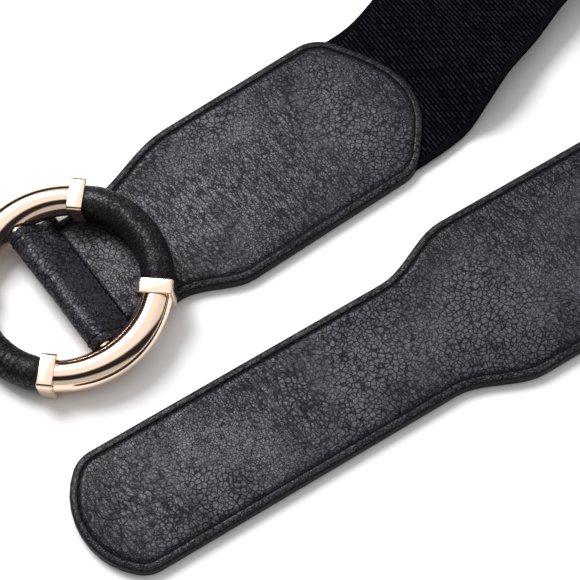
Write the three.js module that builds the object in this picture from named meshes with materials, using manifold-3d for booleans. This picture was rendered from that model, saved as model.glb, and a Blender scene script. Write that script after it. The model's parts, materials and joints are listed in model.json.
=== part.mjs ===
// An elastic stretch belt that lies open on a table: a ring buckle, a stitched leather panel on each
// end, and a wide elastic band that runs round from one panel to the other. Its upper face is up, and
// the far bend of the band stands on its outer edge. Millimetres, +Z up.
import * as THREE from 'three';
import { mergeVertices } from 'three/addons/utils/BufferGeometryUtils.js';
import Module from 'manifold-3d';

const wasm = await Module();
wasm.setup();

// Driving dimensions
const CLEARANCE = 0.3; // between pieces that touch on the real belt

const ELASTIC_WIDTH = 60;
const ELASTIC_THICKNESS = 1.7;
const ELASTIC_SHOWN = 400; // along the band, from one panel's round end to the other's
const ELASTIC_HELD = 30; // length of each end inside its panel
const ELASTIC_SETTLE = 60; // length over which the band comes down from a panel to the table

const LEATHER = 1.3; // one layer of a panel
const BUCKLE_MARGIN = 2.5; // the buckle panel's edge beyond the elastic's edge
const BUCKLE_SHIFT = 1.3; // of the buckle panel and the ring to the outer side of the elastic
const TONGUE_MARGIN = 2.7;
const PANEL_RIM = 0.9; // round of a panel's turned edge

const NECK_WIDTH = 48;
const NECK_START = 13; // from the crossbar's axis to the front layer's cut edge
const BUCKLE_NECK = 45.5; // from the crossbar's axis to the middle of the shoulder
const BUCKLE_WIDE = 96.5; // from the middle of the shoulder to the round end
const BUCKLE_SHOULDER = 38; // length of the outer shoulder
const NECK_HEADING = 0.9; // degrees that the neck is turned from the panel

const TONGUE_WIDTH = 47;
const TONGUE_NARROW = 146.5; // from the middle of the shoulder to the tip
const TONGUE_WIDE = 98; // from the round end to the middle of the shoulder
const TONGUE_SHOULDER = 30;
const TONGUE_HEADING = 3.4; // degrees that the tongue points in towards the buckle strap

const STRAP_GAP = 26.6; // between the two panels' inner edges, where the bend ends
const VEER = 20; // degrees that the band first turns outwards
const VEER_LENGTH = 19;
const VEER_LEAD = 7; // length of the veer before the panel's round end
const VEER_EXIT = 11; // degrees that are left of the veer where the bend begins
const BEND_ROUND = 0.56; // share of the bend's span that its two arcs take
const RUN_OUT = 0.66; // share of the band beside the bend that lies before it

const LOOP_LEATHER = 1.5; // wall of the loop round the crossbar
const LOOP_WIDTH = 49.6;
const LOOP_TAB = 1.8; // thickness of the loop's tab inside the neck
const TAB_LENGTH = 14;

const RING_RADIUS = 32; // to the tube's centre line
const RING_TURN = 2.2; // degrees that the collars are turned from the crossbar's square
const CROSSBAR_OFFSET = 1.5; // from the ring's centre back to the crossbar
const CROSSBAR_RADIUS = 2.4;
const LUG_RADIUS = 3;
const LUG_LENGTH = 0.8;
const GOLD_ARC = 91.6; // degrees between the collars' middles on a bare arc
const GOLD_END_RADIUS = 5.5;
const GOLD_MIDDLE_RADIUS = 5.9;
const SLEEVE_RADIUS = 5.7;
const SLEEVE_LEATHER = 1.7;
const COLLAR_LENGTH = 5.4;
const COLLAR_ACROSS = 12.4;
const COLLAR_CORNER = 1.6;
const COLLAR_BEVEL = 0.5;

const SNAP_RADIUS = 6.2;
const SNAP_THICKNESS = 1.6;
const SNAP_FROM_TIP = 24;
const SNAP_SPACING = 84; // between the stud and the socket along the tongue

// Round ends: radii as shares of the half width that they close
const PANEL_END = { arc: 1.42, corner: 0.43 };
const TONGUE_TIP = { arc: 1.18, corner: 0.5 };

// Shoulders: the share of the shoulder's length that each side takes
const BUCKLE_SIDES = { outer: 1, inner: 0.68 };
const TONGUE_SIDES = { outer: 1, inner: 1 };

// Twist of the band: shares of the shown elastic, and how far the band has turned up on its outer edge
const TWIST = [
  { share: 0, degrees: 0 },
  { share: 0.015, degrees: 7 },
  { share: 0.03, degrees: 10.5 },
  { share: 0.08, degrees: 9 },
  { share: 0.12, degrees: 11 },
  { share: 0.16, degrees: 13 },
  { share: 0.2, degrees: 24 },
  { share: 0.27, degrees: 51 },
  { share: 0.35, degrees: 76 },
  { share: 0.43, degrees: 87 },
  { share: 0.5, degrees: 90 },
  { share: 0.68, degrees: 90 },
  { share: 0.79, degrees: 82 },
  { share: 0.88, degrees: 52 },
  { share: 0.95, degrees: 14 },
  { share: 1, degrees: 0 },
];

// Fineness of the curved pieces
const STATION_STEP = 8;
const ARC_STEP = 6; // degrees along the ring
const TUBE_SIDES = 16;
const CURVE_STEPS = 10;
const CIRCLE_SIDES = 24;
const CORNER_STEPS = 4;

// Sizes that follow
const BUCKLE_WIDTH = ELASTIC_WIDTH + 2 * BUCKLE_MARGIN;
const TONGUE_WIDE_WIDTH = ELASTIC_WIDTH + 2 * TONGUE_MARGIN;
const PANEL_THICKNESS = 2 * LEATHER + ELASTIC_THICKNESS + 2 * CLEARANCE;
const ELASTIC_LIFT = LEATHER + CLEARANCE; // of the band's underside inside a panel
const STRAP_SPACING = BUCKLE_WIDTH / 2 + STRAP_GAP + TONGUE_WIDE_WIDTH / 2;
const BUCKLE_END = BUCKLE_NECK + BUCKLE_WIDE; // stations are measured along the belt from the crossbar
const TONGUE_START = BUCKLE_END + ELASTIC_SHOWN;
const TONGUE_END = TONGUE_START + TONGUE_WIDE + TONGUE_NARROW;
const CORE_RADIUS = SLEEVE_RADIUS - SLEEVE_LEATHER - CLEARANCE;
const LOOP_RADIUS = CROSSBAR_RADIUS + CLEARANCE + LOOP_LEATHER;

const radians = THREE.MathUtils.degToRad;
const { sin, cos, sqrt, abs, ceil, PI } = Math;

// The ring's angles, in degrees from the direction of the neck
const halfSleeve = (180 - GOLD_ARC) / 2;
const rightArc = [RING_TURN - halfSleeve, RING_TURN + halfSleeve];

// Eased share between 0 and 1
const ease = (t) => THREE.MathUtils.smoothstep(t, 0, 1);
const mix = THREE.MathUtils.lerp;

// Route of the belt's outer edge in plan: stretches of even curvature, followed by station
function makeRoute() {
  const veer = radians(VEER);
  const closing = radians(TONGUE_HEADING);
  const veerStart = BUCKLE_END - VEER_LEAD;
  const veerRise = (VEER_LENGTH * (1 - cos(veer))) / veer;

  // The stretches beside the bend take the length that it leaves, and the bend's span grows with the
  // first of them, so both come from one linear equation.
  const exit = radians(VEER_EXIT);
  const climb = RUN_OUT * sin((veer + exit) / 2);
  const levelSpan = ELASTIC_WIDTH + STRAP_SPACING + veerRise;
  const arcsPerSpan = BEND_ROUND / (cos(exit) + cos(closing));
  const bendPerSpan = arcsPerSpan * (PI + exit + closing) + (1 - BEND_ROUND);
  const band = ELASTIC_SHOWN + VEER_LEAD - VEER_LENGTH;
  const beside = (band - bendPerSpan * levelSpan) / (1 + bendPerSpan * climb);
  const span = levelSpan + beside * climb;
  const radius = arcsPerSpan * span;

  const shoulderStart = BUCKLE_NECK - BUCKLE_SHOULDER / 2;
  const quarter = PI / 2;
  const stretches = [
    { length: shoulderStart, turn: 0 },
    { length: BUCKLE_SHOULDER, turn: -radians(NECK_HEADING) },
    { length: veerStart - shoulderStart - BUCKLE_SHOULDER, turn: 0 },
    { length: VEER_LENGTH, turn: veer },
    { length: beside * RUN_OUT, turn: exit - veer },
    { length: radius * (exit + quarter), turn: -(exit + quarter) },
    { length: (1 - BEND_ROUND) * span, turn: 0 },
    { length: radius * (closing + quarter), turn: -(closing + quarter) },
    { length: beside * (1 - RUN_OUT) + TONGUE_END - TONGUE_START, turn: 0 },
  ];

  return (station) => {
    let x = 0;
    let y = 0;
    let heading = radians(NECK_HEADING);
    let left = station;
    for (const [index, { length, turn }] of stretches.entries()) {
      const last = index === stretches.length - 1 || left <= length;
      const travel = last ? left : length;
      const swing = (turn * travel) / length;
      // The chord of an arc, which is the travel itself on a straight stretch
      const chord = abs(swing) > 1e-9 ? (travel * sin(swing / 2)) / (swing / 2) : travel;
      x += chord * cos(heading + swing / 2);
      y += chord * sin(heading + swing / 2);
      heading += swing;
      if (last) break;
      left -= length;
    }
    return { x, y, heading };
  };
}
const route = makeRoute();

// How steeply the twist changes at a row of its table: as between the rows beside it, or not at all
// where it turns back or stays
function twistSlope(row) {
  const [before, at, after] = [TWIST[row - 1], TWIST[row], TWIST[row + 1]];
  if (!before || !after) return 0;
  if ((after.degrees - at.degrees) * (at.degrees - before.degrees) <= 0) return 0;
  return (after.degrees - before.degrees) / (after.share - before.share);
}

// How far the band has turned up on its outer edge at a station, in radians. A cubic curve joins the
// rows of the table without a kink.
function twistAt(station) {
  const share = (station - BUCKLE_END) / ELASTIC_SHOWN;
  if (share <= 0 || share >= 1) return 0;
  const next = TWIST.findIndex((row) => row.share > share);
  const [a, b] = [TWIST[next - 1], TWIST[next]];
  const length = b.share - a.share;
  const t = (share - a.share) / length;
  const lean = twistSlope(next - 1) * t * (1 - t) ** 2 - twistSlope(next) * t ** 2 * (1 - t);
  return radians(mix(a.degrees, b.degrees, ease(t)) + lean * length);
}

// Even stations from one to another
function steps(from, to) {
  const count = ceil((to - from) / STATION_STEP);
  return Array.from({ length: count + 1 }, (_, i) => mix(from, to, i / count));
}

// A point of the belt: station along it, distance across from its centre line to the outer side, and
// height above its underside, which is lifted inside the panels
function place(station, across, height, lift = 0) {
  const { x, y, heading } = route(station);
  const twist = twistAt(station);
  const inward = ELASTIC_WIDTH / 2 - across;
  const level = inward * cos(twist) - height * sin(twist);
  const rise = inward * sin(twist) + height * cos(twist);
  return new THREE.Vector3(x + level * sin(heading), y - level * cos(heading), lift + rise);
}

// A closed skin over rings of points, with flat ends or joined last to first
function loft(rings, joined = false) {
  const sides = rings[0].length;
  const faces = [];
  const spans = joined ? rings.length : rings.length - 1;
  for (let i = 0; i < spans; i++) {
    const ring = i * sides;
    const next = ((i + 1) % rings.length) * sides;
    for (let j = 0; j < sides; j++) {
      const k = (j + 1) % sides;
      faces.push(ring + j, ring + k, next + k, ring + j, next + k, next + j);
    }
  }
  if (!joined) {
    const last = (rings.length - 1) * sides;
    for (let j = 1; j < sides - 1; j++) {
      faces.push(0, j + 1, j, last, last + j, last + j + 1);
    }
  }
  const geometry = new THREE.BufferGeometry().setFromPoints(rings.flat());
  geometry.setIndex(faces);
  return geometry;
}

// Solids for joining and cutting, and back to geometry for a mesh
function toSolid(geometry) {
  const bare = geometry.clone();
  bare.deleteAttribute('normal');
  bare.deleteAttribute('uv');
  const merged = mergeVertices(bare, 1e-4);
  return new wasm.Manifold(
    new wasm.Mesh({
      numProp: 3,
      vertProperties: new Float32Array(merged.attributes.position.array),
      triVerts: new Uint32Array(merged.index.array),
    }),
  );
}

function toGeometry(solid) {
  const { vertProperties, numProp, triVerts } = solid.getMesh();
  const points = [];
  for (let i = 0; i < vertProperties.length; i += numProp) {
    points.push(vertProperties[i], vertProperties[i + 1], vertProperties[i + 2]);
  }
  const geometry = new THREE.BufferGeometry();
  geometry.setAttribute('position', new THREE.Float32BufferAttribute(points, 3));
  geometry.setIndex(Array.from(triVerts));
  return geometry;
}

// A level slab over an outline of [station, across] pairs, its top and bottom edges rounded by the rim
function slab(outline, bottom, top, rim = 0) {
  const corners = outline.map(([station, across]) => place(station, across, 0));
  const shape = new THREE.Shape(corners.map(({ x, y }) => new THREE.Vector2(x, y)));
  return new THREE.ExtrudeGeometry(shape, {
    depth: top - bottom - 2 * rim,
    bevelEnabled: rim > 0,
    bevelThickness: rim,
    bevelSize: rim,
    bevelOffset: -rim,
    bevelSegments: 2,
  }).translate(0, 0, bottom + rim);
}

// A slot inside a panel: a level box that follows the route
function slot(from, to, width, bottom, top) {
  const stations = steps(from, to);
  const outer = stations.map((station) => [station, width / 2]);
  const inner = stations.map((station) => [station, -width / 2]).reverse();
  return slab([...outer, ...inner], bottom, top);
}

// A round end from its outer side to its inner side: the reach back from the apex, and the distance
// across. A flat arc closes the end, and a tighter corner joins it to each straight side.
function roundEnd(halfWidth, shape) {
  const arc = halfWidth * shape.arc;
  const corner = halfWidth * shape.corner;
  const cornerAcross = halfWidth - corner;
  const cornerBack = arc - sqrt((arc - corner) ** 2 - cornerAcross ** 2);
  const meet = Math.asin(cornerAcross / (arc - corner));
  const half = [];
  for (let i = 0; i <= CURVE_STEPS; i++) {
    const angle = mix(PI / 2, meet, i / CURVE_STEPS);
    half.push([cornerBack - corner * cos(angle), cornerAcross + corner * sin(angle)]);
  }
  for (let i = 1; i <= CURVE_STEPS / 2; i++) {
    const angle = mix(meet, 0, i / (CURVE_STEPS / 2));
    half.push([arc - arc * cos(angle), arc * sin(angle)]);
  }
  const mirrored = half.slice(0, -1).reverse().map(([back, across]) => [back, -across]);
  return [...half, ...mirrored];
}

// One side of a shoulder, from the narrow half width to the wide one
function shoulder(middle, length, narrow, wide) {
  return Array.from({ length: CURVE_STEPS + 1 }, (_, i) => {
    const t = i / CURVE_STEPS;
    return [middle + length * (t - 0.5), mix(narrow, wide, ease(t))];
  });
}

const mirror = (side) => side.map(([station, across]) => [station, -across]).reverse();

// Leather panel at the buckle end, with slots for the loop's tab and for the elastic
function buckleBody() {
  const [narrow, wide] = [NECK_WIDTH / 2, BUCKLE_WIDTH / 2];
  const side = (share) => shoulder(BUCKLE_NECK, BUCKLE_SHOULDER * share, narrow, wide);
  const end = roundEnd(wide, PANEL_END).map(([back, across]) => [BUCKLE_END - back, across]);
  const outline = [
    [NECK_START, narrow],
    ...side(BUCKLE_SIDES.outer),
    ...end,
    ...mirror(side(BUCKLE_SIDES.inner)),
    [NECK_START, -narrow],
  ].map(([station, across]) => [station, across + BUCKLE_SHIFT]);
  const middle = PANEL_THICKNESS / 2;
  const tabHalf = LOOP_TAB / 2 + CLEARANCE;
  const tabSlot = slot(
    NECK_START - LOOP_RADIUS,
    NECK_START + TAB_LENGTH + CLEARANCE,
    2 * NECK_WIDTH,
    middle - tabHalf,
    middle + tabHalf,
  );
  return toSolid(slab(outline, 0, PANEL_THICKNESS, PANEL_RIM))
    .subtract(toSolid(elasticSlot(BUCKLE_END - ELASTIC_HELD - CLEARANCE, BUCKLE_END + CLEARANCE)))
    .subtract(toSolid(tabSlot));
}

// Leather panel with the tongue, with a slot for the elastic and pits for the closure's discs
function tongueBody() {
  const [narrow, wide] = [TONGUE_WIDTH / 2, TONGUE_WIDE_WIDTH / 2];
  const middle = TONGUE_START + TONGUE_WIDE;
  const side = (share) =>
    shoulder(-middle, TONGUE_SHOULDER * share, narrow, wide).map(([station, across]) => [
      -station,
      across,
    ]);
  const tip = roundEnd(narrow, TONGUE_TIP).map(([back, across]) => [TONGUE_END - back, across]);
  const end = roundEnd(wide, PANEL_END).map(([back, across]) => [TONGUE_START + back, -across]);
  const outline = [
    ...side(TONGUE_SIDES.outer).reverse(),
    ...tip,
    ...mirror(side(TONGUE_SIDES.inner).reverse()),
    ...end,
  ];
  let body = toSolid(slab(outline, 0, PANEL_THICKNESS, PANEL_RIM)).subtract(
    toSolid(elasticSlot(TONGUE_START - CLEARANCE, TONGUE_START + ELASTIC_HELD + CLEARANCE)),
  );
  for (const station of SNAP_STATIONS) {
    body = body.subtract(toSolid(disc(station, SNAP_RADIUS + CLEARANCE, SNAP_THICKNESS + CLEARANCE, 1)));
  }
  return body;
}

// Room for one end of the elastic between a panel's two layers
function elasticSlot(from, to) {
  return slot(from, to, ELASTIC_WIDTH + 2 * CLEARANCE, LEATHER, PANEL_THICKNESS - LEATHER);
}

// The elastic band, a thin rectangle carried along the route from panel to panel
function elasticBand() {
  const stations = [
    ...steps(BUCKLE_END - ELASTIC_HELD, BUCKLE_END),
    ...steps(BUCKLE_END, TONGUE_START).slice(1),
    ...steps(TONGUE_START, TONGUE_START + ELASTIC_HELD).slice(1),
  ];
  const settle = (distance) => 1 - ease(distance / ELASTIC_SETTLE);
  const half = ELASTIC_WIDTH / 2;
  const rings = stations.map((station) => {
    const lift = ELASTIC_LIFT * (settle(station - BUCKLE_END) + settle(TONGUE_START - station));
    return [
      place(station, half, 0, lift),
      place(station, half, ELASTIC_THICKNESS, lift),
      place(station, 0, ELASTIC_THICKNESS, lift),
      place(station, -half, ELASTIC_THICKNESS, lift),
      place(station, -half, 0, lift),
      place(station, 0, 0, lift),
    ];
  });
  return loft(rings);
}

// A level disc let in from below at a station of the tongue, reaching under the panel by the overrun
function disc(station, radius, thickness, overrun = 0) {
  const { x, y } = place(station, 0, 0);
  return new THREE.CylinderGeometry(radius, radius, thickness + overrun, CIRCLE_SIDES)
    .rotateX(PI / 2)
    .translate(x, y, (thickness - overrun) / 2);
}
const SNAP_STATIONS = [TONGUE_END - SNAP_FROM_TIP, TONGUE_END - SNAP_FROM_TIP - SNAP_SPACING];

// Rest of the ring: one side lies on the table and the other stands on the neck, so the crossbar's
// height and the ring's tilt follow from the contacts. Reaches are level, from the crossbar's axis.
function ringRest() {
  const collarHeight = COLLAR_ACROSS / 2;
  // The corner of the collar that stands furthest out
  const angle = radians(halfSleeve - RING_TURN);
  const collarEdge =
    (RING_RADIUS + collarHeight - COLLAR_CORNER) * cos(angle) +
    (COLLAR_LENGTH / 2 - COLLAR_BEVEL) * sin(angle);
  const onTable = [
    { reach: RING_RADIUS - CROSSBAR_OFFSET, half: SLEEVE_RADIUS },
    { reach: collarEdge - CROSSBAR_OFFSET, half: collarHeight },
  ];
  const neckEdge = sqrt(RING_RADIUS ** 2 - (NECK_WIDTH / 2) ** 2);
  const onNeck = [
    { reach: RING_RADIUS + CROSSBAR_OFFSET, half: SLEEVE_RADIUS },
    { reach: neckEdge + CROSSBAR_OFFSET - COLLAR_LENGTH / 2, half: collarHeight },
  ];
  const seat = PANEL_THICKNESS + CLEARANCE;
  const pairs = onTable.flatMap((low) =>
    onNeck.map((high) => {
      const slope = (seat + high.half - low.half) / (low.reach + high.reach);
      return { height: low.half + low.reach * slope, tilt: Math.asin(slope) };
    }),
  );
  // The pair that holds the crossbar highest is the one that bears
  return pairs.reduce((best, pair) => (pair.height > best.height ? pair : best));
}
const rest = ringRest();

// Leather loop round the crossbar: a teardrop in side view, with a tab that goes into the neck
function loopStrap() {
  const tabBottom = (PANEL_THICKNESS - LOOP_TAB) / 2;
  const tabStart = NECK_START - 2 * CLEARANCE;
  // The angle at which a line from a point to the roll's circle touches it
  const touch = (height, side) => {
    const [dx, dz] = [tabStart, height - rest.height];
    return Math.atan2(dz, dx) + side * Math.acos(LOOP_RADIUS / Math.hypot(dx, dz));
  };
  const upper = touch(tabBottom + LOOP_TAB, 1);
  const lower = touch(tabBottom, -1) + 2 * PI;
  const shape = new THREE.Shape();
  shape.moveTo(tabStart, tabBottom);
  shape.lineTo(NECK_START + TAB_LENGTH, tabBottom);
  shape.lineTo(NECK_START + TAB_LENGTH, tabBottom + LOOP_TAB);
  shape.lineTo(tabStart, tabBottom + LOOP_TAB);
  shape.absarc(0, rest.height, LOOP_RADIUS, upper, lower);
  shape.holes.push(new THREE.Path().absarc(0, rest.height, CROSSBAR_RADIUS + CLEARANCE, 0, 2 * PI));

  const { x, y } = place(0, BUCKLE_SHIFT, 0);
  const extrusion = { depth: LOOP_WIDTH, bevelEnabled: false, curveSegments: CIRCLE_SIDES };
  return new THREE.ExtrudeGeometry(shape, extrusion)
    .rotateX(PI / 2)
    .translate(0, LOOP_WIDTH / 2, 0)
    .rotateZ(radians(NECK_HEADING))
    .translate(x, y, 0);
}

// A ring of points round the tube's centre line at an angle of the ring
function tubeRing(angle, radius) {
  return Array.from({ length: TUBE_SIDES }, (_, i) => {
    const around = (2 * PI * i) / TUBE_SIDES;
    const reach = RING_RADIUS + radius * cos(around);
    return new THREE.Vector3(reach * cos(angle), reach * sin(angle), -radius * sin(around));
  });
}

// Rings along an arc, its radius given by a function of the share along it
function arcRings(from, to, radiusAt) {
  const count = ceil((to - from) / ARC_STEP);
  return Array.from({ length: count + 1 }, (_, i) => {
    const t = i / count;
    return tubeRing(radians(mix(from, to, t)), radiusAt(t));
  });
}

// A bevelled block round the tube at an angle of the ring
function collar(angle) {
  const half = COLLAR_ACROSS / 2 - COLLAR_BEVEL;
  const corner = COLLAR_CORNER - COLLAR_BEVEL;
  const shape = new THREE.Shape();
  shape.absarc(half - corner, half - corner, corner, 0, PI / 2);
  shape.absarc(corner - half, half - corner, corner, PI / 2, PI);
  shape.absarc(corner - half, corner - half, corner, PI, 1.5 * PI);
  shape.absarc(half - corner, corner - half, corner, 1.5 * PI, 2 * PI);
  const depth = COLLAR_LENGTH - 2 * COLLAR_BEVEL;
  return new THREE.ExtrudeGeometry(shape, {
    depth,
    bevelThickness: COLLAR_BEVEL,
    bevelSize: COLLAR_BEVEL,
    bevelSegments: 2,
    curveSegments: CORNER_STEPS,
  })
    .translate(0, 0, -depth / 2)
    .rotateX(PI / 2)
    .translate(RING_RADIUS, 0, 0)
    .rotateZ(angle);
}

// A rod along the crossbar's axis, its ends in the ring's bare arcs
function rod(radius, from, to) {
  return new THREE.CylinderGeometry(radius, radius, to - from, TUBE_SIDES)
    .translate(-CROSSBAR_OFFSET, (from + to) / 2, 0);
}

// The cast metal ring: two bare arcs, fullest at their middle, four collars, the thin rods that the
// sleeves cover, and the crossbar on its two lugs
function ringBody() {
  const bulge = (t) => mix(GOLD_END_RADIUS, GOLD_MIDDLE_RADIUS, sin(PI * t) ** 2);
  const pieces = [0, 180].flatMap((turn) => [
    loft(arcRings(rightArc[1] + turn, rightArc[1] + turn + GOLD_ARC, bulge)),
    loft(arcRings(rightArc[0] + turn, rightArc[1] + turn, () => CORE_RADIUS)),
    collar(radians(rightArc[0] + turn)),
    collar(radians(rightArc[1] + turn)),
  ]);
  const inside = RING_RADIUS - GOLD_MIDDLE_RADIUS;
  pieces.push(
    rod(CROSSBAR_RADIUS, -RING_RADIUS, RING_RADIUS),
    rod(LUG_RADIUS, inside - LUG_LENGTH, RING_RADIUS),
    rod(LUG_RADIUS, -RING_RADIUS, LUG_LENGTH - inside),
  );
  return pieces.map(toSolid).reduce((whole, piece) => whole.add(piece));
}

// A leather sleeve on one arc, clear of the rod inside it and cut square to the collars at its ends
function sleeve(turn) {
  const [from, to] = rightArc.map((angle) => angle + turn);
  const outside = arcRings(from, to, () => SLEEVE_RADIUS);
  const inside = arcRings(from, to, () => SLEEVE_RADIUS - SLEEVE_LEATHER);
  const room = (angle) =>
    new THREE.BoxGeometry(COLLAR_ACROSS, COLLAR_LENGTH + 2 * CLEARANCE, COLLAR_ACROSS)
      .translate(RING_RADIUS, 0, 0)
      .rotateZ(radians(angle));
  const tube = toSolid(loft([...outside, ...inside.reverse()], true));
  return toGeometry(tube.subtract(toSolid(room(from))).subtract(toSolid(room(to))));
}

// Materials, in the colours of the photograph
const finish = (color, roughness, metalness = 0) =>
  new THREE.MeshStandardMaterial({ color, roughness, metalness });
const paint = {
  leather: () => finish(0x232327, 0.55),
  elastic: () => finish(0x0d0d0f, 0.95),
  gold: () => finish(0xe8c6a0, 0.12, 1),
  nickel: () => finish(0xb4b2ae, 0.3, 1),
};

const belt = new THREE.Group();

function add(name, geometry, material, parent = belt) {
  geometry.computeVertexNormals();
  const mesh = new THREE.Mesh(geometry, material);
  mesh.name = name;
  parent.add(mesh);
}

add('elastic_band', elasticBand(), paint.elastic());
add('buckle_panel', toGeometry(buckleBody()), paint.leather());
add('tongue_panel', toGeometry(tongueBody()), paint.leather());
add('loop_strap', loopStrap(), paint.leather());
add('snap_stud', disc(SNAP_STATIONS[0], SNAP_RADIUS, SNAP_THICKNESS), paint.nickel());
add('snap_socket', disc(SNAP_STATIONS[1], SNAP_RADIUS, SNAP_THICKNESS), paint.nickel());

// The ring hangs on the loop by its crossbar, tilted to its rest
const ring = new THREE.Group();
const crossbar = place(0, BUCKLE_SHIFT, 0);
ring.position.set(crossbar.x, crossbar.y, rest.height);
ring.rotation.set(0, -rest.tilt, radians(NECK_HEADING), 'ZYX');
const hoop = new THREE.Group();
hoop.position.x = CROSSBAR_OFFSET;
ring.add(hoop);
add('buckle_ring', toGeometry(ringBody()), paint.gold(), hoop);
add('leather_sleeve_right', sleeve(0), paint.leather(), hoop);
add('leather_sleeve_left', sleeve(180), paint.leather(), hoop);
belt.add(ring);

// The origin is on the table, under the middle of the whole
belt.updateMatrixWorld(true);
const bounds = new THREE.Box3().setFromObject(belt, true);
const middle = bounds.getCenter(new THREE.Vector3());
belt.position.set(-middle.x, -middle.y, -bounds.min.z);

export default belt;
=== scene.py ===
# %% [markdown]
# # An elastic stretch belt, open on a white table
#
# The belt has a leather panel on each end, wide elastic between them, and a ring buckle whose crossbar
# hangs in a folded leather loop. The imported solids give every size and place. This scene dresses them:
# grained leather with stitches in a groove, ribbed elastic, and a polished ring with leather sleeves.

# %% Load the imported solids
import json
import random
from math import acos, asin, atan2, cos, degrees, exp, hypot, pi, radians, sin, sqrt

import bmesh
import bpy
from bmesh.types import BMEdge, BMFace, BMVert
from mathutils import Matrix, Vector, noise


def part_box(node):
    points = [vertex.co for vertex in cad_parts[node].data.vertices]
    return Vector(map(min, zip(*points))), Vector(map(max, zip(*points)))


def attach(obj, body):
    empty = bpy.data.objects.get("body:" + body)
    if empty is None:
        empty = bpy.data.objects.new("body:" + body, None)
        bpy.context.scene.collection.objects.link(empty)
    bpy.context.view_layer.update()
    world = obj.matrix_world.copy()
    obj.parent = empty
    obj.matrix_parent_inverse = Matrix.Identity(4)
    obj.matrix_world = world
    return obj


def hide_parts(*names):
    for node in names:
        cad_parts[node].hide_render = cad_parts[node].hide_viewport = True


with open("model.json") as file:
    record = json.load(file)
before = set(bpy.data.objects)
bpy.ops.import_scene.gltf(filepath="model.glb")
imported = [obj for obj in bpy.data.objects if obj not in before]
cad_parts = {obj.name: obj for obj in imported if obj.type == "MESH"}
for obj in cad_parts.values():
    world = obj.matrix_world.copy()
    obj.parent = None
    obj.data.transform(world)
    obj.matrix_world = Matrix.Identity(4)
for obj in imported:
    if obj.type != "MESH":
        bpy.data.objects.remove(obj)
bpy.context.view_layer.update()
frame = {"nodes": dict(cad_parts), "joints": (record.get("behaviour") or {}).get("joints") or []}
MM = 0.001
STITCH_SEED = 7
random.seed(STITCH_SEED)
print("solids:", ", ".join(sorted(frame["nodes"])))

# %% [markdown]
# ## Camera
#
# The photograph looks down steeply from the tongue's side with a long lens. The lens is written in pixels
# of the photograph's width, because that is what can be measured in it. The camera's aim is measured from
# the ring, because the ring is the sharpest landmark in the picture.

# %% Camera
AZIMUTH, ELEVATION = radians(-35.5), radians(65)
CAMERA_DISTANCE = 0.805
FOCAL_PIXELS, PICTURE_PIXELS, SENSOR = 2350, 580, 36
RING_FROM_AIM = Vector((-0.064, 0.04185, 0))


def stand(name, data):
    """Puts a new object in the scene."""
    made = bpy.data.objects.new(name, data)
    bpy.context.scene.collection.objects.link(made)
    return made


def aimed(direction):
    """The turn of a camera or light that looks along a direction."""
    return direction.to_track_quat("-Z", "Y").to_euler()


ring_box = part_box("buckle_ring")
ring_middle = (ring_box[0] + ring_box[1]) / 2
aim = Vector((ring_middle.x, ring_middle.y, 0)) - RING_FROM_AIM
level = cos(ELEVATION)
toward_camera = Vector((sin(AZIMUTH) * level, -cos(AZIMUTH) * level, sin(ELEVATION)))
camera = stand("camera", bpy.data.cameras.new("camera"))
camera.data.lens, camera.data.sensor_width = FOCAL_PIXELS / PICTURE_PIXELS * SENSOR, SENSOR
camera.location = aim + toward_camera * CAMERA_DISTANCE
camera.rotation_euler = aimed(-toward_camera)
bpy.context.scene.camera = camera
print("camera aims at", [round(value, 4) for value in aim])

# %% [markdown]
# ## The route of the belt
#
# Everything on a belt follows its length: stitches, ribs and edges. So the scene walks the same route as
# the solids do. A station is a distance along the belt from the crossbar, across is a distance from the
# middle to the outer side, and the far bend turns up on its outer edge.

# %% The belt's sizes, in millimetres
ELASTIC_WIDTH, ELASTIC_THICKNESS = 60, 1.7
ELASTIC_SHOWN, ELASTIC_HELD, ELASTIC_SETTLE = 400, 30, 60
LEATHER, CLEARANCE = 1.3, 0.3
BUCKLE_MARGIN, BUCKLE_SHIFT, TONGUE_MARGIN = 2.5, 1.3, 2.7
NECK_WIDTH, NECK_START, NECK_HEADING = 48, 13, 0.9
BUCKLE_NECK, BUCKLE_WIDE, BUCKLE_SHOULDER = 45.5, 96.5, 38
TONGUE_WIDTH, TONGUE_NARROW, TONGUE_WIDE = 47, 146.5, 98
TONGUE_SHOULDER, TONGUE_HEADING = 30, 3.4
STRAP_GAP, RUN_OUT, BEND_ROUND = 26.6, 0.66, 0.56
VEER, VEER_LENGTH, VEER_LEAD, VEER_EXIT = 20, 19, 7, 11
TWIST = [
    (0, 0), (0.015, 7), (0.03, 10.5), (0.08, 9), (0.12, 11), (0.16, 13), (0.2, 24), (0.27, 51),
    (0.35, 76), (0.43, 87), (0.5, 90), (0.68, 90), (0.79, 82), (0.88, 52), (0.95, 14), (1, 0),
]

BUCKLE_HALF = ELASTIC_WIDTH / 2 + BUCKLE_MARGIN
TONGUE_HALF = ELASTIC_WIDTH / 2 + TONGUE_MARGIN
PANEL_THICKNESS = 2 * LEATHER + ELASTIC_THICKNESS + 2 * CLEARANCE
BUCKLE_END = BUCKLE_NECK + BUCKLE_WIDE
TONGUE_START = BUCKLE_END + ELASTIC_SHOWN
TONGUE_END = TONGUE_START + TONGUE_WIDE + TONGUE_NARROW
print("belt length, mm:", TONGUE_END, "and panel thickness:", round(PANEL_THICKNESS, 2))

# %% [markdown]
# ## Walking the route
#
# A curve object could carry the belt, but its twist is hard to hold to a known line. Here the route is a
# list of stretches of even curvature, and walking them gives the place and heading at any station.

# %% Walk the route
NO_TURN = 1e-9


def mix(a, b, share):
    return a + (b - a) * share


def ease(share):
    share = min(max(share, 0), 1)
    return share * share * (3 - 2 * share)


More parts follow.
